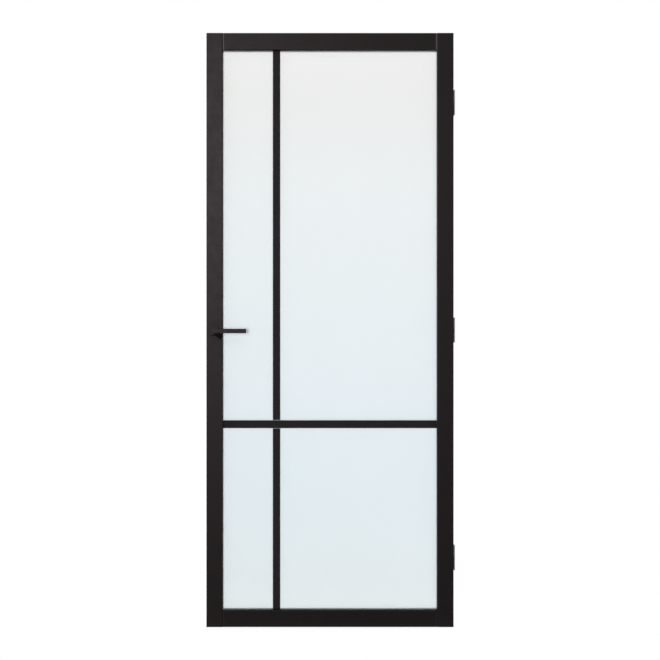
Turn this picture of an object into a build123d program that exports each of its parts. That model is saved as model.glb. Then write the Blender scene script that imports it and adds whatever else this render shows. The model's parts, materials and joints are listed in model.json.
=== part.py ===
from build123d import *
import math
import os

# Glazed interior door: framed leaf, satin pane, stuck-on bars, magnet latch and lift-off hinges.
# Millimetres. X runs from the lock edge to the hinge edge, Y from front to back, Z up.
# The origin is the middle of the leaf's bottom edge.

# Overrun of a cutting solid past the face that it cuts
cut_overrun = 1.0

# Leaf frame
leaf_width = 880.0
leaf_height = 2115.0
leaf_thickness = 40.0
stile_width = 58.0
rail_width = 60.0
outer_edge_radius = 1.5
inner_edge_radius = 3.0

# Haunched tenons of the rails
tenon_length = 40.0
tenon_height = 30.0
tenon_end_gap = 0.5
joint_groove_width = 5.0
joint_groove_depth = 2.5

# Glazing
pane_thickness = 6.0
pane_arris = 0.8
pane_edge_clearance = 3.0
groove_depth = 10.0
gasket_thickness = 3.0
gasket_width = 8.0
gasket_recess = 0.6
block_length = 100.0
block_corner_distance = 150.0

# Glazing bars
upright_bar_width = 26.0
transom_bar_width = 27.5
bar_thickness = 4.0
bar_chamfer = 0.5
bar_end_gap = 0.7
bar_cross_gap = 1.6
tape_thickness = 1.0
tape_inset = 2.0
upright_bar_distance = 249.0
transom_bar_height = 721.0

# Spindle and levers
spindle_backset = 30.0
spindle_height = 1054.0
spindle_side = 8.0
spindle_clearance = 0.1
spindle_insertion = 28.0
lever_projection = 55.0
lever_reach = 113.5
lever_bar_side = 15.5
lever_neck_width = 13.0
lever_edge_chamfer = 0.8
lever_bend_radius = 5.0
lever_shank_radius = 8.0
lever_face_clearance = 0.3
lever_turn_degrees = 40.0

# Roses
rose_side = 29.0
rose_height = 8.0
rose_wall = 1.5
rose_edge_chamfer = 0.8
rose_base_height = 5.0
rose_fit_clearance = 0.1
rose_bore_clearance = 0.3
rose_running_clearance = 0.05
spindle_bore_radius = 9.0

# Latch lock
faceplate_length = 174.0
faceplate_width = 20.0
faceplate_thickness = 3.0
faceplate_clearance = 0.2
faceplate_hole_distance = 10.0
faceplate_hole_radius = 1.8
case_depth = 40.5
case_height = 110.0
case_below_spindle = 45.0
case_thickness = 14.0
case_wall = 1.2
mortise_clearance = 0.5

# Latch bolt
latch_rise = 30.0
latch_height = 20.0
latch_thickness = 11.0
latch_throw = 11.0
latch_set_back = 0.3
latch_nose_bevel = 1.5
latch_head_length = 26.0
latch_guide_clearance = 0.3
latch_stem_height = 8.0
latch_stem_thickness = 6.0
latch_lug_thickness = 2.5
latch_lug_dip = 1.0
latch_lug_rise = 16.0
latch_arm_clearance = 1.5

# Follower
journal_radius = 7.5
journal_clearance = 0.05
arm_tip_radius = 2.5
arm_width = 3.4
arm_thickness = 5.0

# Strip springs
strip_thickness = 0.6
strip_width = 5.0
strip_seat_clearance = 0.1
latch_strip_rise = 24.0
latch_strip_clearance = 1.0
latch_strip_bend_radius = 5.0
follower_strip_drop = 34.0
follower_strip_foot_drop = 6.0
follower_strip_bend_radius = 6.0

# Lift-off hinges
hinge_height = 89.0
hinge_flap_reach = 40.0
hinge_flap_thickness = 3.0
hinge_gap = 2.5
hinge_pin_radius = 3.5
hinge_running_clearance = 0.05
hinge_knuckle_clearance = 0.5
hinge_recess_clearance = 0.1
hinge_washer_height = 2.0
hinge_knuckle_cap = 4.0
hinge_pin_end_clearance = 0.3
hinge_end_distance = 245.0
hinge_hole_radius = 2.6
hinge_near_column = 17.0
hinge_near_height = 33.0
hinge_far_column = 31.0
hinge_far_height = 13.0

# Planes and lines of the leaf
lock_edge_x = -leaf_width / 2
hinge_edge_x = leaf_width / 2
front_face_y = -leaf_thickness / 2
back_face_y = leaf_thickness / 2
opening_left_x = lock_edge_x + stile_width
opening_right_x = hinge_edge_x - stile_width
opening_bottom_z = rail_width
opening_top_z = leaf_height - rail_width
groove_width = pane_thickness + 2 * gasket_thickness
pane_bite = groove_depth - pane_edge_clearance
top_solid_limits = (opening_top_z + groove_depth, leaf_height)
bottom_solid_limits = (0, opening_bottom_z - groove_depth)
bar_foot_y = -pane_thickness / 2 - tape_thickness
upright_bar_x = lock_edge_x + upright_bar_distance

# Lines of the handle and the lock
spindle_x = lock_edge_x + spindle_backset
spindle_z = spindle_height
latch_z = spindle_z + latch_rise
socket_side = spindle_side + 2 * spindle_clearance
neck_base_y = front_face_y - rose_height - lever_face_clearance
lever_front_y = front_face_y - lever_projection
spindle_end_y = neck_base_y - spindle_insertion
case_front_x = lock_edge_x + faceplate_thickness
case_back_x = case_front_x + case_depth
case_bottom_z = spindle_z - case_below_spindle
case_top_z = case_bottom_z + case_height
case_middle_z = (case_bottom_z + case_top_z) / 2
case_half = case_thickness / 2
room_half = case_half - case_wall

# The follower's arm leans forward by half the lever's turn, so its tip moves by the throw
arm_lean_degrees = lever_turn_degrees / 2
arm_lean = math.radians(arm_lean_degrees)
arm_reach = latch_throw / (2 * math.sin(arm_lean))
arm_tip_shift = arm_reach * math.sin(arm_lean)
arm_tip_drop = arm_reach * math.cos(arm_lean)
lug_front_x = spindle_x - arm_tip_shift + arm_tip_radius + latch_arm_clearance + latch_throw
lug_back_x = lug_front_x + latch_lug_thickness

# Lines of the hinges
knuckle_radius = hinge_pin_radius + hinge_running_clearance + hinge_flap_thickness
knuckle_reach = knuckle_radius + hinge_knuckle_clearance
hinge_axis_x = hinge_edge_x - knuckle_reach
hinge_axis_y = back_face_y + knuckle_reach
frame_flap_x = hinge_edge_x + hinge_gap + hinge_flap_thickness
knuckle_length = (hinge_height - hinge_washer_height) / 2
hinge_heights = {
    "lower": hinge_end_distance,
    "middle": leaf_height / 2,
    "upper": leaf_height - hinge_end_distance,
}
hinge_holes = [
    (column, side * height)
    for column, height in ((hinge_near_column, hinge_near_height), (hinge_far_column, hinge_far_height))
    for side in (-1, 1)
]


def block(x_limits, y_limits, z_limits):
    """Box between two limits on each axis."""
    lows, highs = zip(x_limits, y_limits, z_limits)
    spans = [high - low for low, high in zip(lows, highs)]
    return Pos(*lows) * Box(*spans, align=(Align.MIN, Align.MIN, Align.MIN))


def around(middle, size):
    """Two limits, the same distance either side of a middle."""
    return (middle - size / 2, middle + size / 2)


def rod(radius, start, end):
    """Round bar between two points."""
    axis = Vector(*end) - Vector(*start)
    return extrude(Plane(origin=start, z_dir=axis) * Circle(radius), amount=axis.length)


def to_rear(shape):
    """Copy of a front piece on the leaf's other face."""
    return mirror(shape, about=Plane.XZ)


def group(solids):
    """Like pieces that share a node."""
    return Compound(children=list(solids))


# Leaf frame

def member_section(width):
    """Section of a stile or rail: outer edge at 0, grooved glass side at its width."""
    outline = Rectangle(width, leaf_thickness, align=(Align.MIN, Align.CENTER))
    outline = fillet(outline.vertices().group_by(Axis.X)[0], outer_edge_radius)
    outline = fillet(outline.vertices().group_by(Axis.X)[-1], inner_edge_radius)
    return outline - Pos(width, 0) * Rectangle(2 * groove_depth, groove_width)


def tenon_block(solid_limits, end_gap):
    """Tenon that runs through a rail into both stiles, or its mortises."""
    reach = tenon_length + end_gap
    middle_z = sum(solid_limits) / 2
    return block(
        (opening_left_x - reach, opening_right_x + reach),
        around(0, groove_width),
        around(middle_z, tenon_height),
    )


def make_rail(outer_z, inward, solid_limits):
    """Rail with haunched tenons: the haunch fills the stile's groove, the tenon goes deeper."""
    section_plane = Plane(origin=(opening_left_x, 0, outer_z), x_dir=(0, 0, inward), z_dir=(1, 0, 0))
    rail = extrude(section_plane * member_section(rail_width), amount=opening_right_x - opening_left_x)
    haunch_limits = (opening_left_x - groove_depth, opening_right_x + groove_depth)
    rail += block(haunch_limits, around(0, groove_width), solid_limits)
    return rail + tenon_block(solid_limits, 0) - joint_grooves()


def joint_grooves():
    """Slanted cuts across the rails' ends, which leave a groove beside each stile on both faces."""
    grooves = []
    for end_x, inward in ((opening_left_x, 1), (opening_right_x, -1)):
        outline = Polygon(
            (end_x, front_face_y),
            (end_x + inward * joint_groove_width, front_face_y),
            (end_x, front_face_y + joint_groove_depth),
            align=None,
        )
        groove = extrude(outline, amount=leaf_height, both=True)
        grooves += [groove, to_rear(groove)]
    return grooves


def make_lock_stile():
    """Stile with the lock's mortise, the faceplate's recess and the spindle's bore."""
    stile = Pos(lock_edge_x, 0) * extrude(member_section(stile_width), amount=leaf_height)
    mortise = block(
        (lock_edge_x, case_back_x + mortise_clearance),
        around(0, case_thickness + 2 * mortise_clearance),
        (case_bottom_z - mortise_clearance, case_top_z + mortise_clearance),
    )
    bore = rod(
        spindle_bore_radius,
        (spindle_x, front_face_y - cut_overrun, spindle_z),
        (spindle_x, back_face_y + cut_overrun, spindle_z),
    )
    return stile - rail_mortises() - faceplate_blank(faceplate_clearance) - mortise - bore


def make_hinge_stile():
    """Stile with a recess for each leaf flap."""
    section = mirror(member_section(stile_width), about=Plane.YZ)
    stile = Pos(hinge_edge_x, 0) * extrude(section, amount=leaf_height)
    for height in hinge_heights.values():
        stile -= flap_plate(hinge_edge_x, back_face_y, height, hinge_recess_clearance)
    return stile - rail_mortises()


def rail_mortises():
    return [tenon_block(limits, tenon_end_gap) for limits in (top_solid_limits, bottom_solid_limits)]


# Glazing

def make_pane():
    pane = block(
        (opening_left_x - pane_bite, opening_right_x + pane_bite),
        around(0, pane_thickness),
        (opening_bottom_z - pane_bite, opening_top_z + pane_bite),
    )
    rims = pane.faces().sort_by(Axis.Y)
    return chamfer(rims[0].edges() + rims[-1].edges(), pane_arris)


def opening_corners(margin):
    """Corners of the glazed opening, widened by a margin, as X and Z."""
    left, right = opening_left_x - margin, opening_right_x + margin
    bottom, top = opening_bottom_z - margin, opening_top_z + margin
    return [(left, bottom), (right, bottom), (right, top), (left, top)]


def make_front_gasket():
    """Four mitred strips between the pane and the groove's front wall."""
    inner = opening_corners(gasket_recess)
    outer = opening_corners(gasket_recess + gasket_width)
    seat = Plane.XZ.offset(pane_thickness / 2)
    strips = []
    for start in range(len(inner)):
        end = (start + 1) % len(inner)
        outline = Polygon(outer[start], outer[end], inner[end], inner[start], align=None)
        strips.append(extrude(seat * outline, amount=gasket_thickness))
    return group(strips)


def make_setting_blocks():
    """Two blocks under the pane and two at each side."""
    thickness = around(0, pane_thickness)
    blocks = []
    for x in (opening_left_x + block_corner_distance, opening_right_x - block_corner_distance):
        under = (opening_bottom_z - groove_depth, opening_bottom_z - pane_bite)
        blocks.append(block(around(x, block_length), thickness, under))
    for z in (opening_bottom_z + block_corner_distance, opening_top_z - block_corner_distance):
        beside = (opening_left_x - groove_depth, opening_left_x - pane_bite)
        blocks.append(block(beside, thickness, around(z, block_length)))
        beside = (opening_right_x + pane_bite, opening_right_x + groove_depth)
        blocks.append(block(beside, thickness, around(z, block_length)))
    return group(blocks)


# Glazing bars

transom_limits = (
    (opening_left_x + bar_end_gap, opening_right_x - bar_end_gap),
    around(transom_bar_height, transom_bar_width),
)
upper_limits = (
    around(upright_bar_x, upright_bar_width),
    (transom_limits[1][1] + bar_cross_gap, opening_top_z - bar_end_gap),
)
lower_limits = (
    around(upright_bar_x, upright_bar_width),
    (opening_bottom_z + bar_end_gap, transom_limits[1][0] - bar_cross_gap),
)


def make_front_bar(limits):
    """Flat bar with its front edges broken."""
    x_limits, z_limits = limits
    bar = block(x_limits, (bar_foot_y - bar_thickness, bar_foot_y), z_limits)
    return chamfer(bar.faces().sort_by(Axis.Y)[0].edges(), bar_chamfer)


def make_front_tapes():
    """Double-sided tape under each front bar."""
    strips = []
    for limits in (transom_limits, upper_limits, lower_limits):
        x_limits, z_limits = [(low + tape_inset, high - tape_inset) for low, high in limits]
        strips.append(block(x_limits, (bar_foot_y, -pane_thickness / 2), z_limits))
    return group(strips)


# Levers and spindle

def make_front_lever():
    """Square bar, bent once, with a round shank that turns in the rose."""
    left, right = around(spindle_x, lever_neck_width)
    bar_back_y = lever_front_y + lever_bar_side
    tip_x = spindle_x + lever_reach
    outline = Polygon(
        (left, neck_base_y),
        (right, neck_base_y),
        (right, bar_back_y),
        (tip_x, bar_back_y),
        (tip_x, lever_front_y),
        (left, lever_front_y),
        align=None,
    )
    bend = outline.vertices().sort_by_distance((right, bar_back_y))[0]
    outline = fillet(bend, lever_bend_radius)
    lever = Pos(0, 0, spindle_z) * extrude(outline, amount=lever_bar_side / 2, both=True)
    base_edges = lever.faces().sort_by(Axis.Y)[-1].edges()
    bend_edges = lever.faces().filter_by(GeomType.CYLINDER).edges().filter_by(Axis.Z)
    sharp_edges = [edge for edge in lever.edges() if edge not in base_edges + bend_edges]
    lever = chamfer(sharp_edges, lever_edge_chamfer)
    shank_end_y = front_face_y - lever_face_clearance
    lever += rod(lever_shank_radius, (spindle_x, neck_base_y, spindle_z), (spindle_x, shank_end_y, spindle_z))
    socket = block(
        around(spindle_x, socket_side),
        (spindle_end_y - spindle_clearance, shank_end_y + cut_overrun),
        around(spindle_z, socket_side),
    )
    return lever - socket


def make_spindle():
    return block(
        around(spindle_x, spindle_side),
        (spindle_end_y, -spindle_end_y),
        around(spindle_z, spindle_side),
    )


# Roses

def make_front_rose_cover():
    """Square cap with a round hole for the lever's shank."""
    cover = block(
        around(spindle_x, rose_side),
        (front_face_y - rose_height, front_face_y),
        around(spindle_z, rose_side),
    )
    foot_edges = cover.faces().sort_by(Axis.Y)[-1].edges()
    cover = chamfer([edge for edge in cover.edges() if edge not in foot_edges], rose_edge_chamfer)
    room_side = rose_side - 2 * rose_wall
    cover -= block(
        around(spindle_x, room_side),
        (front_face_y - rose_height + rose_wall, front_face_y + cut_overrun),
        around(spindle_z, room_side),
    )
    return cover - shank_bore(lever_shank_radius + rose_bore_clearance, rose_height + cut_overrun)


def shank_bore(radius, depth):
    """Round hole on the spindle's axis, from the leaf's front face outwards."""
    start = (spindle_x, front_face_y + cut_overrun, spindle_z)
    return rod(radius, start, (spindle_x, front_face_y - depth, spindle_z))


def make_front_rose_base():
    """Plate that the cover clips on, bored as the bearing of the lever's shank."""
    side = rose_side - 2 * rose_wall - 2 * rose_fit_clearance
    base = block(
        around(spindle_x, side),
        (front_face_y - rose_base_height, front_face_y),
        around(spindle_z, side),
    )
    return base - shank_bore(lever_shank_radius + rose_running_clearance, rose_base_height + cut_overrun)


# Latch lock

def faceplate_blank(clearance):
    """Round-ended plate in the lock edge, or its recess."""
    plane = Plane(origin=(lock_edge_x, 0, case_middle_z), x_dir=(0, 0, 1), z_dir=(1, 0, 0))
    outline = SlotOverall(faceplate_length + 2 * clearance, faceplate_width + 2 * clearance)
    return extrude(plane * outline, amount=faceplate_thickness)


def faceplate_holes():
    """Screw holes at the two ends of the faceplate."""
    spacing = faceplate_length - 2 * faceplate_hole_distance
    return [
        rod(faceplate_hole_radius, (lock_edge_x - cut_overrun, 0, z), (case_front_x + cut_overrun, 0, z))
        for z in around(case_middle_z, spacing)
    ]


def latch_window():
    """Opening for the latch bolt through the faceplate and the case's front wall."""
    return block(
        (lock_edge_x - cut_overrun, case_front_x + case_wall + cut_overrun),
        around(0, latch_thickness + 2 * latch_guide_clearance),
        around(latch_z, latch_height + 2 * latch_guide_clearance),
    )


def make_faceplate():
    return faceplate_blank(0) - faceplate_holes() - latch_window()


def journal_bore():
    """Bearing hole for the follower, right through the case."""
    return rod(
        journal_radius + journal_clearance,
        (spindle_x, -case_half - cut_overrun, spindle_z),
        (spindle_x, case_half + cut_overrun, spindle_z),
    )


def make_case():
    """Tray that is open at the back, where the cover closes it."""
    z_limits = (case_bottom_z, case_top_z)
    case = block((case_front_x, case_back_x), (-case_half, room_half), z_limits)
    case -= block(
        (case_front_x + case_wall, case_back_x - case_wall),
        (-room_half, room_half + cut_overrun),
        (case_bottom_z + case_wall, case_top_z - case_wall),
    )
    return case - latch_window() - journal_bore()


def make_cover():
    cover = block((case_front_x, case_back_x), (room_half, case_half), (case_bottom_z, case_top_z))
    return cover - journal_bore()


def make_latch_bolt():
    """Bolt as it lies when no magnet draws it: head in the faceplate, stem, and lug for arm and spring."""
    nose_x = lock_edge_x + latch_set_back
    head_back_x = nose_x + latch_head_length
    head = block(
        (nose_x, head_back_x),
        around(0, latch_thickness),
        around(latch_z, latch_height),
    )
    nose_edges = head.faces().sort_by(Axis.X)[0].edges().filter_by(Axis.Z)
    head = chamfer(nose_edges, latch_nose_bevel)
    thickness = around(0, latch_stem_thickness)
    stem = block((head_back_x, lug_back_x), thickness, around(latch_z, latch_stem_height))
    lug_limits = (spindle_z + arm_tip_drop - latch_lug_dip, latch_z + latch_lug_rise)
    lug = block((lug_front_x, lug_back_x), thickness, lug_limits)
    return head + stem + lug


def follower_arm(turn_degrees):
    """Round-ended arm from the follower's centre, turned from upright about the spindle."""
    outline = Pos(0, arm_reach / 2) * Rectangle(arm_width, arm_reach)
    outline += Pos(0, arm_reach) * Circle(arm_tip_radius)
    arm = extrude(Plane.XZ * outline, amount=arm_thickness / 2, both=True)
    return Pos(spindle_x, 0, spindle_z) * Rot(0, turn_degrees, 0) * arm


def make_follower():
    """Hub on the spindle, with one arm for the bolt and one for the return spring."""
    follower = rod(journal_radius, (spindle_x, -case_half, spindle_z), (spindle_x, case_half, spindle_z))
    follower += follower_arm(-arm_lean_degrees)
    follower += follower_arm(180 - arm_lean_degrees)
    return follower - block(
        around(spindle_x, socket_side),
        (-case_half - cut_overrun, case_half + cut_overrun),
        around(spindle_z, socket_side),
    )


def strip_spring(points, bend_radius):
    """Bent strip of spring steel along points given as X and Z."""
    path = FilletPolyline(*points, radius=bend_radius)
    strip = trace(path, line_width=strip_thickness)
    return extrude(Plane.XZ * strip, amount=strip_width / 2, both=True)


def make_latch_spring():
    """Hairpin above the bolt's head, between the case's front wall and the lug, which draws the bolt in."""
    seat = strip_seat_clearance + strip_thickness / 2
    wall_x = case_front_x + case_wall + seat
    lug_x = lug_front_x - seat
    foot_z = latch_z + latch_height / 2 + latch_strip_clearance
    bend_z = latch_z + latch_strip_rise
    return strip_spring(
        [(wall_x, foot_z), (wall_x, bend_z), (lug_x, bend_z), (lug_x, foot_z)],
        latch_strip_bend_radius,
    )


def make_follower_spring():
    """Bent strip between the case's front wall and the follower's lower arm."""
    seat = strip_seat_clearance + strip_thickness / 2
    wall_x = case_front_x + case_wall + seat
    arm_x = spindle_x + arm_tip_shift - arm_tip_radius - seat
    foot_z = spindle_z - follower_strip_foot_drop
    bend_z = spindle_z - follower_strip_drop
    return strip_spring(
        [(wall_x, foot_z), (wall_x, bend_z), (arm_x, bend_z), (arm_x, spindle_z - arm_tip_drop)],
        follower_strip_bend_radius,
    )


# Hinges

def flap_plate(face_x, inner_y, height, clearance):
    """Plate of a flap, behind its right face, or the recess for it."""
    outer_y = hinge_axis_y - hinge_flap_reach - clearance
    z_limits = around(height, hinge_height + 2 * clearance)
    return block((face_x - hinge_flap_thickness, face_x), (outer_y, inner_y), z_limits)


def axis_rod(radius, z_limits):
    """Round bar on the hinge pins' common axis."""
    low, high = z_limits
    return rod(radius, (hinge_axis_x, hinge_axis_y, low), (hinge_axis_x, hinge_axis_y, high))


def pin_bore(height):
    """Bore for the pin, closed at the bottom and the top of the hinge."""
    bore_length = hinge_height - 2 * hinge_knuckle_cap
    return axis_rod(hinge_pin_radius + hinge_running_clearance, around(height, bore_length))


def make_flap(face_x, height, side):
    """Flap with its knuckle behind the leaf: side 1 is the upper knuckle, side -1 the lower one."""
    middle_z = height + side * (hinge_washer_height + knuckle_length) / 2
    z_limits = around(middle_z, knuckle_length)
    neck_limits = around(hinge_axis_y, hinge_flap_thickness)
    flap = flap_plate(face_x, back_face_y, height, 0)
    flap += block((face_x - hinge_flap_thickness, face_x), (back_face_y, neck_limits[1]), z_limits)
    flap += block((hinge_axis_x, face_x), neck_limits, z_limits)
    return flap + axis_rod(knuckle_radius, z_limits) - pin_bore(height)


def make_frame_flap(height):
    """Fixed flap, with holes for the screws into the door frame."""
    front_x = frame_flap_x - hinge_flap_thickness - cut_overrun
    back_x = frame_flap_x + cut_overrun
    flap = make_flap(frame_flap_x, height, -1)
    for column, level in hinge_holes:
        y, z = hinge_axis_y - column, height + level
        flap -= rod(hinge_hole_radius, (front_x, y, z), (back_x, y, z))
    return flap


def make_pin(height):
    """Pin that stands in the lower knuckle and carries the upper one."""
    low, high = around(height, hinge_height - 2 * hinge_knuckle_cap)
    return axis_rod(hinge_pin_radius, (low, high - hinge_pin_end_clearance))


def make_washer(height):
    """Ring between the two knuckles, which bears the leaf's weight."""
    return axis_rod(knuckle_radius, around(height, hinge_washer_height)) - pin_bore(height)


front_lever = make_front_lever()
front_rose_cover = make_front_rose_cover()
front_rose_base = make_front_rose_base()
front_gasket = make_front_gasket()
front_tapes = make_front_tapes()
front_transom_bar = make_front_bar(transom_limits)
front_upper_bar = make_front_bar(upper_limits)
front_lower_bar = make_front_bar(lower_limits)

nodes = {
    "lock_stile": make_lock_stile(),
    "hinge_stile": make_hinge_stile(),
    "top_rail": make_rail(leaf_height, -1, top_solid_limits),
    "bottom_rail": make_rail(0, 1, bottom_solid_limits),
    "glass_pane": make_pane(),
    "front_gasket": front_gasket,
    "rear_gasket": to_rear(front_gasket),
    "setting_blocks": make_setting_blocks(),
    "front_transom_bar": front_transom_bar,
    "rear_transom_bar": to_rear(front_transom_bar),
    "front_upper_bar": front_upper_bar,
    "rear_upper_bar": to_rear(front_upper_bar),
    "front_lower_bar": front_lower_bar,
    "rear_lower_bar": to_rear(front_lower_bar),
    "front_bar_tapes": front_tapes,
    "rear_bar_tapes": to_rear(front_tapes),
    "lock_case": make_case(),
    "lock_cover": make_cover(),
    "lock_faceplate": make_faceplate(),
    "latch_bolt": make_latch_bolt(),
    "latch_spring": make_latch_spring(),
    "follower": make_follower(),
    "follower_spring": make_follower_spring(),
    "front_lever": front_lever,
    "rear_lever": to_rear(front_lever),
    "spindle": make_spindle(),
    "front_rose_base": front_rose_base,
    "rear_rose_base": to_rear(front_rose_base),
    "front_rose_cover": front_rose_cover,
    "rear_rose_cover": to_rear(front_rose_cover),
}
for place, height in hinge_heights.items():
    nodes[f"{place}_hinge_leaf_flap"] = make_flap(hinge_edge_x, height, 1)
    nodes[f"{place}_hinge_frame_flap"] = make_frame_flap(height)
    nodes[f"{place}_hinge_pin"] = make_pin(height)
    nodes[f"{place}_hinge_washer"] = make_washer(height)

os.makedirs("parts", exist_ok=True)
for name, shape in nodes.items():
    export_step(shape, f"parts/{name}.step")
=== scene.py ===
"""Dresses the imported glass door: finishes, small fasteners, studio light and camera.

Sizes are in metres, and tones are linear.
"""

import json
import math
from collections import namedtuple

import bmesh
import bpy
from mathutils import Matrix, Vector

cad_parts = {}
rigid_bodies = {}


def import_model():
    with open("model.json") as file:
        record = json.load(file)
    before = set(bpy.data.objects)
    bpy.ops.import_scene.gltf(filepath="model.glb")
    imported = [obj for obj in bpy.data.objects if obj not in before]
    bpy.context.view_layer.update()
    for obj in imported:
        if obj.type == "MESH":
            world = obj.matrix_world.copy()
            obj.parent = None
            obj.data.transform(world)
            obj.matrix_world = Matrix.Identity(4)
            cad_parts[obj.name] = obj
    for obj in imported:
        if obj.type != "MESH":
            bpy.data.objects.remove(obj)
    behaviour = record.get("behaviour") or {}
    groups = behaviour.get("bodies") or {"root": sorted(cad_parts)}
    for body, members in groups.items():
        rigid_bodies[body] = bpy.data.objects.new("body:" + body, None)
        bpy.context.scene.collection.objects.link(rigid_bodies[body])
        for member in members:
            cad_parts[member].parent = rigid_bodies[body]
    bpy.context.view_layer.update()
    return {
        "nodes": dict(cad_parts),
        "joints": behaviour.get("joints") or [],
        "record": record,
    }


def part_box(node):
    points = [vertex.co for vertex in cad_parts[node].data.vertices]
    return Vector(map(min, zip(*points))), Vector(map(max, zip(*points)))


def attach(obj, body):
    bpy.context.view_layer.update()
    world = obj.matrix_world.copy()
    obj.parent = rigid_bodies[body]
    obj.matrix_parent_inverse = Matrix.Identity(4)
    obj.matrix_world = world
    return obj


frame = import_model()
nodes = frame["nodes"]
record = frame["record"]

# Axes and units
X_AXIS, Y_AXIS, Z_AXIS = (Vector(row) for row in ((1, 0, 0), (0, 1, 0), (0, 0, 1)))
MILLIMETRES_PER_METRE = 1000

# Places taken from the frame
stile_low, stile_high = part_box("lock_stile")
leaf_height = stile_high.z - stile_low.z
leaf_front = stile_low.y
leaf_middle = Vector((0, 0, (stile_low.z + stile_high.z) / 2))
pane_low, pane_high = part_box("glass_pane")
hinge_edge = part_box("hinge_stile")[1].x
lever_joint = next(joint for joint in frame["joints"] if joint["name"] == "lever_turn")

# Noise, and the directions in which its marks are drawn out
EVEN = (1, 1, 1)
GRAIN_SHARE = 40
ALONG_X = (GRAIN_SHARE, 1, 1)
ALONG_Z = (1, 1, GRAIN_SHARE)
NOISE_SPAN_SHARES = (0.3, 0.7)
PLAIN_DETAIL = 2
FINE_DETAIL = 4

# Lacquer of the frame
LACQUER_TONES = (0.0034, 0.0027, 0.0028), (0.0044, 0.0035, 0.0036)
LACQUER_ROUGHNESS = 0.56, 0.63
LACQUER_CLOUD = 0.09
LACQUER_HAZE = 0.03
PEEL_MARK = 0.0018
PEEL_DEPTH = 0.0001
GRAIN_MARK = 0.0009
GRAIN_DEPTH = 0.00004
WARM_SHEEN = (1, 0.86, 0.89, 1)
STILE_SHEEN = 0.15
TOP_SHEEN = 0.14
BOTTOM_SHEEN = 0.132
# Painted highlight: a paler tone in the grooves at a rail's ends stands in for light caught on their
# edges, strong on the top rail and faint on the bottom one
JOINT_HIGHLIGHT_WIDTH = 0.005
JOINT_HIGHLIGHT_FADE = 0.0004
TOP_JOINT_HIGHLIGHT_TONE = (0.075, 0.068, 0.069)
BOTTOM_JOINT_HIGHLIGHT_TONE = (0.012, 0.0105, 0.0108)

# Satin glass. Its tones by share of the pane's height are a pale blue grey tint with a painted
# reflection of the studio, neutral and paler at the top and bluer and deeper lower down, and painted
# lighter at the very top and bottom against the frame's shade
GLASS_TINT_AND_PAINTED_LIGHT = (
    (0, (0.872, 0.935, 0.947)),
    (0.06, (0.831, 0.895, 0.917)),
    (0.25, (0.827, 0.909, 0.945)),
    (0.5, (0.876, 0.932, 0.963)),
    (0.6, (0.891, 0.943, 0.958)),
    (0.75, (0.901, 0.938, 0.947)),
    (0.93, (0.903, 0.913, 0.902)),
    (1, (0.942, 0.942, 0.944)),
)
GLASS_IOR = 1.5
GLASS_CLEAR_SHARE = 0.85
GLASS_GLOSS = (0.1, 0.1, 0.1, 1)
GLASS_ROUGHNESS = 0.3, 0.34
ETCH_CLOUD = 0.004
ETCH_MARK = 0.0006
ETCH_DEPTH = 0.00001

# Powder coats of the bars and the handle
BAR_TONES = (0.0150, 0.0134, 0.0147), (0.0172, 0.0153, 0.0167)
BAR_ROUGHNESS = 0.73, 0.81
BAR_GLOSS = 0.04
HANDLE_TONES = (0.0060, 0.0056, 0.0057), (0.0078, 0.0073, 0.0075)
HANDLE_ROUGHNESS = 0.54, 0.6
HANDLE_GLOSS = 0.135
COAT_CLOUD = 0.02
COAT_HAZE = 0.0012
COAT_MARK = 0.0007
COAT_DEPTH = 0.00009

# Metals
NICKEL_TONES = (0.44, 0.44, 0.43), (0.55, 0.55, 0.54)
NICKEL_ROUGHNESS = 0.36, 0.5
NICKEL_METAL_SHARE = 0.7
BRUSH_MARK = 0.0004
BRUSH_HAZE = 0.0008
BRUSH_DEPTH = 0.000008
ZINC_TONES = (0.50, 0.51, 0.53), (0.62, 0.63, 0.63)
ZINC_ROUGHNESS = 0.3, 0.48
ZINC_PATCH = 0.006
ZINC_MARK = 0.001
ZINC_DEPTH = 0.000015
BRASS_TONES = (0.66, 0.47, 0.2), (0.76, 0.58, 0.3)
BRASS_ROUGHNESS = 0.28, 0.42
BRASS_RING = 0.0003
BRASS_DEPTH = 0.000008

# Rubber, foam, nylon and plastic, and the painted shade in the screws' drive recesses
Soft = namedtuple("Soft", "mark tone roughness")
GASKET = Soft(0.0006, 0.011, 0.68)
TAPE = Soft(0.0005, 0.012, 0.8)
NYLON = Soft(0.0008, 0.014, 0.5)
# Painted shade: a matt black laid on the screws' drive recesses, where only shade falls
DRIVE_SHADE = Soft(0.0003, 0.02, 0.5)
SOFT_CLOUD_SHARE = 8
SOFT_DEPTH_SHARE = 0.1
SOFT_LIGHT_SHARE = 1.5
SOFT_ROUGHNESS_SPREAD = 0.12
BLOCK_TONES = (0.21, 0.21, 0.22), (0.27, 0.27, 0.28)
BLOCK_ROUGHNESS = 0.5, 0.6
BLOCK_CLOUD = 0.01
BLOCK_HAZE = 0.002
BLOCK_MARK = 0.0008
BLOCK_DEPTH = 0.00003

# Sizes of the fasteners
Head = namedtuple("Head", "radius rise sink drive_depth shape")
FASTENER_SIDES = 48
RIM_SHARE = 0.1
SHANK_SHARE = 0.5
DRIVE_SHARE = 0.43
DRIVE_LOBE_SHARE = 0.16
DRIVE_POINTS = 6
PLATE_END_SHARE = 0.0575
GRUB_REACH_SHARE = 0.24

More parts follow.
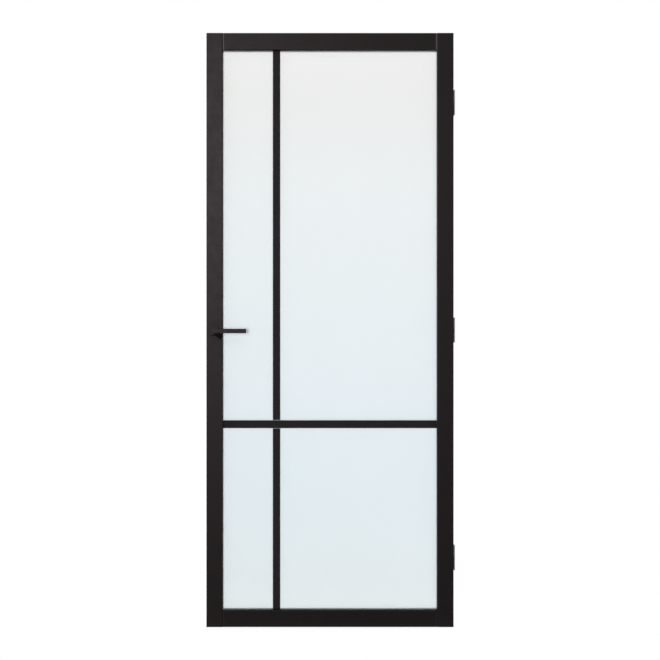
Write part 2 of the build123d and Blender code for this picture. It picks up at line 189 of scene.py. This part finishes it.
# Camera, floor and lights of the studio
CAMERA_DISTANCE = 4.5
LEAF_IN_PICTURE_SHARE = 0.9003
SENSOR = 0.036
FLOOR_REACH = 9.0
FLOOR_FORE = 0.1
FLOOR_DROP = 0.0006
FLOOR_TONE = (0.8, 0.8, 0.8, 1)
FLOOR_WHITE = 1.07
FLOOR_WHITE_SHARE = 0.8
WHITE = (1, 1, 1, 1)
DIM_SIDE_SHARES = (-0.97, -0.72)
DIM_SIDE_STRENGTH = 0.03
STUDIO_STRENGTH = 1.0
SHEEN_PLACE = Vector((-1.325, -2.5, 1.963))
SHEEN_SIDE = 0.2
SHEEN_POWER = 140
KEPT_FROM_SHEEN = "pane_glass", "edge_steel", "lock_steel", "washer_brass"
FILL_PLACE = Vector((1.6, -7.25, 5.25))
FILL_SIDE = 0.6
FILL_POWER = 240


# Building finishes out of nodes
def set_range(node, span, limits):
    """Sets the span that a Map Range node reads and the limits that it turns it into."""
    for name, number in zip(("From Min", "From Max", "To Min", "To Max"), (*span, *limits)):
        node.inputs[name].default_value = number


class Finish:
    """One Principled material and the nodes that its look is made of."""

    def __init__(self, name, **settings):
        self.material = bpy.data.materials.new(name)
        self.material.use_nodes = True
        self.tree = self.material.node_tree
        self.shader = self.tree.nodes["Principled BSDF"]
        self.place = self.add("ShaderNodeTexCoord").outputs["Object"]
        for socket, value in settings.items():
            self.give(socket.replace("_", " "), value)

    def add(self, kind, **inputs):
        """A new node, with a value or a link for each input named."""
        node = self.tree.nodes.new(kind)
        for name, value in inputs.items():
            self.join(value, node.inputs[name.replace("_", " ")])
        return node

    def join(self, value, socket):
        """Links a node's output to a socket, or sets a plain value there."""
        if isinstance(value, bpy.types.NodeSocket):
            self.tree.links.new(value, socket)
        else:
            socket.default_value = value

    def give(self, name, value):
        """Joins a value to one of the shader's own sockets."""
        self.join(value, self.shader.inputs[name])

    def part_of_place(self, axis):
        """The object's own X, Y or Z."""
        return self.add("ShaderNodeSeparateXYZ", Vector=self.place).outputs[axis]

    def speckle(self, size, stretch=EVEN, detail=PLAIN_DETAIL):
        """Noise whose marks are about size across, drawn out along each axis by stretch."""
        scales = [1 / (size * share) for share in stretch]
        spread = self.add("ShaderNodeMapping", Vector=self.place, Scale=scales)
        noise = self.add("ShaderNodeTexNoise", Vector=spread.outputs["Vector"], Scale=1, Detail=detail)
        return noise.outputs["Fac"]

    def between(self, value, limits, span=NOISE_SPAN_SHARES):
        """The value over its span turned into a number between the limits."""
        spread = self.add("ShaderNodeMapRange", Value=value)
        set_range(spread, span, limits)
        return spread.outputs["Result"]

    def tint(self, value, stops):
        """A colour from a ramp of (place, colour) stops."""
        ramp = self.add("ShaderNodeValToRGB", Fac=value)
        band = ramp.color_ramp
        while len(band.elements) < len(stops):
            band.elements.new(1)
        for element, (place, colour) in zip(band.elements, stops):
            element.position = place
            element.color = (*colour, 1)
        return ramp.outputs["Color"]

    def mottle(self, noise, tones):
        """A colour that wanders between two tones."""
        return self.tint(noise, tuple(zip(NOISE_SPAN_SHARES, tones)))

    def blend(self, share, under, over):
        """One colour that turns into another as the share goes from 0 to 1."""
        mix = self.add("ShaderNodeMixRGB", Fac=share, Color1=under)
        mix.inputs["Color2"].default_value = (*over, 1)
        return mix.outputs["Color"]

    def relief(self, *heights):
        """Bumps of (height, depth) laid over each other."""
        normal = None
        for height, depth in heights:
            bump = self.add("ShaderNodeBump", Height=height, Distance=depth, Strength=1)
            if normal is not None:
                self.join(normal, bump.inputs["Normal"])
            normal = bump.outputs["Normal"]
        self.give("Normal", normal)


# Finishes
def joint_highlight_share(finish):
    """1 in the grooves at a rail's two ends and 0 between them: the mask of the painted highlight
    there.
    """
    off_middle = finish.add("ShaderNodeMath")
    off_middle.operation = "ABSOLUTE"
    finish.join(finish.part_of_place("X"), off_middle.inputs[0])
    start = -stile_high.x - JOINT_HIGHLIGHT_WIDTH
    return finish.between(off_middle.outputs["Value"], (0, 1), (start, start + JOINT_HIGHLIGHT_FADE))


def make_lacquer(name, along, sheen, joint_highlight_tone=None):
    """Sprayed satin lacquer on wood, with orange peel, a trace of grain and, on a rail, a painted
    highlight in the grooves at its ends.
    """
    finish = Finish(name, Specular_IOR_Level=sheen, Specular_Tint=WARM_SHEEN)
    tone = finish.mottle(finish.speckle(LACQUER_CLOUD, along), LACQUER_TONES)
    # Painted highlight in the grooves at the rail's ends
    if joint_highlight_tone is not None:
        tone = finish.blend(joint_highlight_share(finish), tone, joint_highlight_tone)
    finish.give("Base Color", tone)
    finish.give("Roughness", finish.between(finish.speckle(LACQUER_HAZE), LACQUER_ROUGHNESS))
    grain = finish.speckle(GRAIN_MARK, along, FINE_DETAIL)
    finish.relief((finish.speckle(PEEL_MARK), PEEL_DEPTH), (grain, GRAIN_DEPTH))
    return finish.material


def make_pane_glass():
    """Satin etched glass, pale blue grey, with a painted reflection that makes it deeper and bluer low
    down, and painted light at its top and bottom edges.
    """
    finish = Finish(
        "satin_glass", Transmission_Weight=GLASS_CLEAR_SHARE, IOR=GLASS_IOR, Specular_Tint=GLASS_GLOSS,
    )
    # Painted reflection and painted light, by share of the pane's height
    level = finish.between(finish.part_of_place("Z"), (0, 1), (pane_low.z, pane_high.z))
    finish.give("Base Color", finish.tint(level, GLASS_TINT_AND_PAINTED_LIGHT))
    finish.give("Roughness", finish.between(finish.speckle(ETCH_CLOUD), GLASS_ROUGHNESS))
    finish.relief((finish.speckle(ETCH_MARK), ETCH_DEPTH))
    return finish.material


def make_powder_coat(name, tones, roughness, gloss):
    """Fine-textured powder coat over metal."""
    finish = Finish(name, Specular_IOR_Level=gloss, Specular_Tint=WARM_SHEEN)
    finish.give("Base Color", finish.mottle(finish.speckle(COAT_CLOUD), tones))
    finish.give("Roughness", finish.between(finish.speckle(COAT_HAZE), roughness))
    finish.relief((finish.speckle(COAT_MARK, detail=FINE_DETAIL), COAT_DEPTH))
    return finish.material


def make_satin_nickel():
    """Satin nickel on steel, with fine lines along the brushing."""
    finish = Finish("satin_nickel", Metallic=NICKEL_METAL_SHARE)
    lines = finish.speckle(BRUSH_MARK, ALONG_Z, FINE_DETAIL)
    finish.give("Base Color", finish.mottle(lines, NICKEL_TONES))
    finish.give("Roughness", finish.between(finish.speckle(BRUSH_HAZE, ALONG_Z), NICKEL_ROUGHNESS))
    finish.relief((lines, BRUSH_DEPTH))
    return finish.material


def make_zinc_plate():
    """Bright zinc on steel, in soft patches."""
    finish = Finish("zinc_plate", Metallic=1)
    patches = finish.speckle(ZINC_PATCH, detail=FINE_DETAIL)
    finish.give("Base Color", finish.mottle(patches, ZINC_TONES))
    finish.give("Roughness", finish.between(patches, ZINC_ROUGHNESS))
    finish.relief((finish.speckle(ZINC_MARK), ZINC_DEPTH))
    return finish.material


def make_brass():
    """Turned brass, with fine rings left as lines across."""
    finish = Finish("turned_brass", Metallic=1)
    rings = finish.speckle(BRASS_RING, ALONG_X, FINE_DETAIL)
    finish.give("Base Color", finish.mottle(rings, BRASS_TONES))
    finish.give("Roughness", finish.between(rings, BRASS_ROUGHNESS))
    finish.relief((rings, BRASS_DEPTH))
    return finish.material


def grey(level):
    """A neutral tone."""
    return (level, level, level)


def make_soft_black(name, soft):
    """Matt black rubber, foam or nylon, by the size of its surface marks, and the painted shade in the
    screws' drive recesses.
    """
    finish = Finish(name)
    tones = grey(soft.tone), grey(soft.tone * SOFT_LIGHT_SHARE)
    finish.give("Base Color", finish.mottle(finish.speckle(soft.mark * SOFT_CLOUD_SHARE), tones))
    marks = finish.speckle(soft.mark)
    limits = (soft.roughness, soft.roughness + SOFT_ROUGHNESS_SPREAD)
    finish.give("Roughness", finish.between(marks, limits))
    finish.relief((marks, soft.mark * SOFT_DEPTH_SHARE))
    return finish.material


def make_block_plastic():
    """Grey moulded plastic."""
    finish = Finish("block_plastic")
    finish.give("Base Color", finish.mottle(finish.speckle(BLOCK_CLOUD), BLOCK_TONES))
    finish.give("Roughness", finish.between(finish.speckle(BLOCK_HAZE), BLOCK_ROUGHNESS))
    finish.relief((finish.speckle(BLOCK_MARK), BLOCK_DEPTH))
    return finish.material


def put_in_scene(name, data):
    """A new object with the given data, put into the scene."""
    item = bpy.data.objects.new(name, data)
    bpy.context.scene.collection.objects.link(item)
    return item


def put_mesh_in_scene(name, mesh):
    """A new object with the mesh that was built for it, put into the scene."""
    data = bpy.data.meshes.new(name)
    mesh.to_mesh(data)
    mesh.free()
    return put_in_scene(name, data)


def dress(piece, *materials):
    """Gives a piece its finish, and a new piece any further ones that its faces ask for."""
    mesh = piece.data
    for place, material in enumerate(materials):
        if place < len(mesh.materials):
            mesh.materials[place] = material
        else:
            mesh.materials.append(material)


# Painted shade for the screws' drive recesses
drive_shade = make_soft_black("drive_shade", DRIVE_SHADE)
finishes = {
    "frame_lacquer": make_lacquer("stile_lacquer", ALONG_Z, STILE_SHEEN),
    "pane_glass": make_pane_glass(),
    "gasket_rubber": make_soft_black("gasket_rubber", GASKET),
    "block_plastic": make_block_plastic(),
    "bar_coating": make_powder_coat("bar_powder_coat", BAR_TONES, BAR_ROUGHNESS, BAR_GLOSS),
    "bar_tape": make_soft_black("bar_tape", TAPE),
    "handle_coating": make_powder_coat(
        "handle_powder_coat", HANDLE_TONES, HANDLE_ROUGHNESS, HANDLE_GLOSS,
    ),
    "lock_steel": make_zinc_plate(),
    "edge_steel": make_satin_nickel(),
    "rose_nylon": make_soft_black("rose_nylon", NYLON),
    "washer_brass": make_brass(),
}
for subpart in record["subparts"]:
    dress(nodes[subpart["node"]], finishes[subpart["material_slot"]])
# The rails' lacquers carry the painted highlight in their end grooves
dress(nodes["top_rail"], make_lacquer("top_lacquer", ALONG_X, TOP_SHEEN, TOP_JOINT_HIGHLIGHT_TONE))
dress(nodes["bottom_rail"], make_lacquer("bottom_lacquer", ALONG_X, BOTTOM_SHEEN, BOTTOM_JOINT_HIGHLIGHT_TONE))


# Small fasteners
def circle(radius):
    """A round outline."""
    return lambda turn: radius


def lobed(radius):
    """A six-lobed drive recess."""
    return lambda turn: radius * (1 + DRIVE_LOBE_SHARE * math.cos(DRIVE_POINTS * turn))


def hexagon(radius):
    """A hexagon socket, by the distance from its middle to a flat."""
    sector = 2 * math.pi / DRIVE_POINTS
    return lambda turn: radius / math.cos((turn + sector / 2) % sector - sector / 2)


def ring(height, radius_at):
    """One round of points about the Z axis."""
    points = []
    for step in range(FASTENER_SIDES):
        turn = 2 * math.pi * step / FASTENER_SIDES
        radius = radius_at(turn)
        points.append(Vector((radius * math.cos(turn), radius * math.sin(turn), height)))
    return points


def add_head(mesh, place, outward, head):
    """A countersunk head with a real drive recess, whose faces take the second material, a painted
    shade.
    """
    rim = head.radius * RIM_SHARE
    drive = head.shape(head.radius * DRIVE_SHARE)
    rings = [
        ring(-head.sink, circle(head.radius * SHANK_SHARE)),
        ring(head.rise - rim / 2, circle(head.radius)),
        ring(head.rise, circle(head.radius - rim)),
        ring(head.rise, drive),
        ring(head.rise - head.drive_depth, drive),
    ]
    turn = Z_AXIS.rotation_difference(outward)
    rounds = [[mesh.verts.new(place + turn @ point) for point in points] for points in rings]
    for lower, upper in zip(rounds, rounds[1:]):
        for step in range(FASTENER_SIDES):
            after = (step + 1) % FASTENER_SIDES
            side = mesh.faces.new((lower[step], lower[after], upper[after], upper[step]))
            side.material_index = int(upper is rounds[-1])
    mesh.faces.new(rounds[0][::-1])
    mesh.faces.new(rounds[-1]).material_index = 1


def make_fasteners(name, places, outward, head, body, slot):
    """A set of like fasteners as one piece on a body."""
    mesh = bmesh.new()
    for place in places:
        add_head(mesh, place, outward, head)
    bmesh.ops.recalc_face_normals(mesh, faces=mesh.faces)
    piece = put_mesh_in_scene(name, mesh)
    # The drive recesses take the painted shade
    dress(piece, finishes[slot], drive_shade)
    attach(piece, body)


def hinge_screw_places(hinge):
    """The leaf flap's screws stand opposite the frame flap's holes, which the record states."""
    places = []
    for mount in record["mounts"]:
        if mount["name"].startswith(hinge):
            half = mount["dims"]["spacing_y_mm"] / MILLIMETRES_PER_METRE / 2
            _, y, z = mount["pos_m"]
            places += [Vector((hinge_edge, y, z + half)), Vector((hinge_edge, y, z - half))]
    return places


def plate_screw_places():
    """One near each end of the faceplate, over its two holes."""
    low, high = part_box("lock_faceplate")
    end = (high.z - low.z) * PLATE_END_SHARE
    middle = (low.y + high.y) / 2
    return [Vector((low.x, middle, height)) for height in (low.z + end, high.z - end)]


def grub_screw_place(lever, root, tip):
    """Under the lever's neck, a share of the way from its root to its tip."""
    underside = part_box(lever)[0].z
    return Vector((lever_joint["pos_m"][0], root + (tip - root) * GRUB_REACH_SHARE, underside))


HINGE_SCREW = Head(radius=0.0044, rise=0.00032, sink=0.0003, drive_depth=0.00027, shape=lobed)
PLATE_SCREW = Head(radius=0.0034, rise=0.00004, sink=0.0019, drive_depth=0.0014, shape=lobed)
GRUB_SCREW = Head(radius=0.0025, rise=0.00018, sink=0.0003, drive_depth=0.00015, shape=hexagon)

for level in ("lower", "middle", "upper"):
    hinge = level + "_hinge"
    screw_places = hinge_screw_places(hinge)
    make_fasteners(hinge + "_leaf_screws", screw_places, X_AXIS, HINGE_SCREW, "leaf", "edge_steel")
make_fasteners("faceplate_screws", plate_screw_places(), -X_AXIS, PLATE_SCREW, "leaf", "edge_steel")
front_low, front_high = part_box("front_lever")
rear_low, rear_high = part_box("rear_lever")
lever_reaches = (
    ("front_lever", front_high.y, front_low.y),
    ("rear_lever", rear_low.y, rear_high.y),
)
for lever, root, tip in lever_reaches:
    grub_place = grub_screw_place(lever, root, tip)
    make_fasteners(lever + "_grub_screw", [grub_place], -Z_AXIS, GRUB_SCREW, "handle", "lock_steel")


# Studio
def new_tree(owner):
    """The empty node tree of a world or a material."""
    owner.use_nodes = True
    owner.node_tree.nodes.clear()
    return owner.node_tree


def seen_by(tree, *kinds):
    """1 for light paths of these kinds and 0 for the rest."""
    path = tree.nodes.new("ShaderNodeLightPath")
    share = path.outputs[kinds[0]]
    for kind in kinds[1:]:
        either = tree.nodes.new("ShaderNodeMath")
        either.operation = "MAXIMUM"
        tree.links.new(share, either.inputs[0])
        tree.links.new(path.outputs[kind], either.inputs[1])
        share = either.outputs[0]
    return share


def studio_strength(tree):
    """White all round, apart from the dimmer side of the studio that the door faces."""
    place = tree.nodes.new("ShaderNodeTexCoord")
    split = tree.nodes.new("ShaderNodeSeparateXYZ")
    tree.links.new(place.outputs["Generated"], split.inputs["Vector"])
    dim = tree.nodes.new("ShaderNodeMapRange")
    dim.interpolation_type = "SMOOTHSTEP"
    set_range(dim, DIM_SIDE_SHARES, (DIM_SIDE_STRENGTH, STUDIO_STRENGTH))
    tree.links.new(split.outputs["Y"], dim.inputs["Value"])
    return dim.outputs["Result"]


def make_world():
    """The studio, with a white background from every side."""
    world = bpy.data.worlds.new("studio")
    bpy.context.scene.world = world
    tree = new_tree(world)
    strength = tree.nodes.new("ShaderNodeMix")
    tree.links.new(seen_by(tree, "Is Camera Ray", "Is Transmission Ray"), strength.inputs["Factor"])
    tree.links.new(studio_strength(tree), strength.inputs["A"])
    strength.inputs["B"].default_value = 1
    shade = tree.nodes.new("ShaderNodeBackground")
    shade.inputs["Color"].default_value = WHITE
    tree.links.new(strength.outputs["Result"], shade.inputs["Strength"])
    out = tree.nodes.new("ShaderNodeOutputWorld")
    tree.links.new(shade.outputs["Background"], out.inputs["Surface"])


def make_floor_paper():
    """White paper that keeps a faint shadow."""
    material = bpy.data.materials.new("floor_paper")
    tree = new_tree(material)
    matt = tree.nodes.new("ShaderNodeBsdfDiffuse")
    matt.inputs["Color"].default_value = FLOOR_TONE
    white = tree.nodes.new("ShaderNodeEmission")
    white.inputs["Strength"].default_value = FLOOR_WHITE
    share = tree.nodes.new("ShaderNodeMath")
    share.operation = "MULTIPLY"
    share.inputs[1].default_value = FLOOR_WHITE_SHARE
    seen = seen_by(tree, "Is Camera Ray", "Is Glossy Ray", "Is Transmission Ray")
    tree.links.new(seen, share.inputs[0])
    blend = tree.nodes.new("ShaderNodeMixShader")
    tree.links.new(share.outputs[0], blend.inputs["Fac"])
    tree.links.new(matt.outputs["BSDF"], blend.inputs[1])
    tree.links.new(white.outputs["Emission"], blend.inputs[2])
    out = tree.nodes.new("ShaderNodeOutputMaterial")
    tree.links.new(blend.outputs["Shader"], out.inputs["Surface"])
    return material


def make_floor():
    """A plain floor from just in front of the door to far behind it."""
    mesh = bmesh.new()
    bmesh.ops.create_grid(mesh, x_segments=1, y_segments=1, size=FLOOR_REACH)
    floor = put_mesh_in_scene("floor", mesh)
    floor.location = (0, FLOOR_REACH - FLOOR_FORE, stile_low.z - FLOOR_DROP)
    dress(floor, make_floor_paper())


def add_lamp(name, place, side, power):
    """A soft square lamp that faces the middle of the leaf."""
    data = bpy.data.lights.new(name, "AREA")
    data.size = side
    data.energy = power
    lamp = put_in_scene(name, data)
    lamp.location = place
    lamp.rotation_euler = (leaf_middle - place).to_track_quat("-Z", "Y").to_euler()
    return lamp


def keep_off(lamp, slots):
    """Lets a lamp light every piece but those with the finishes of some slots."""
    spared = bpy.data.collections.new(lamp.name + "_keeps_off")
    lamp.light_linking.receiver_collection = spared
    spared_finishes = [finishes[slot] for slot in slots]
    for piece in bpy.context.scene.objects:
        if piece.active_material in spared_finishes:
            spared.objects.link(piece)
    for entry in spared.collection_objects:
        entry.light_linking.link_state = "EXCLUDE"


def add_lamps():
    """One lamp for the sheen on the dark coats and one for the light that throws soft shadows."""
    sheen = add_lamp("sheen", SHEEN_PLACE, SHEEN_SIDE, SHEEN_POWER)
    sheen.visible_diffuse = False
    keep_off(sheen, KEPT_FROM_SHEEN)
    fill = add_lamp("fill", FILL_PLACE, FILL_SIDE, FILL_POWER)
    fill.visible_glossy = False
    fill.visible_transmission = False


def add_camera():
    """Square to the leaf's face and level with its middle, as in the photograph."""
    data = bpy.data.cameras.new("camera")
    data.sensor_width = SENSOR * MILLIMETRES_PER_METRE
    view_height = leaf_height / LEAF_IN_PICTURE_SHARE
    data.lens = data.sensor_width * CAMERA_DISTANCE / view_height
    camera = put_in_scene("camera", data)
    camera.location = leaf_middle + Vector((0, leaf_front - CAMERA_DISTANCE, 0))
    camera.rotation_euler = Y_AXIS.to_track_quat("-Z", "Y").to_euler()
    bpy.context.scene.camera = camera


make_world()
make_floor()
add_lamps()
add_camera()
bpy.context.scene.view_settings.view_transform = "Standard"
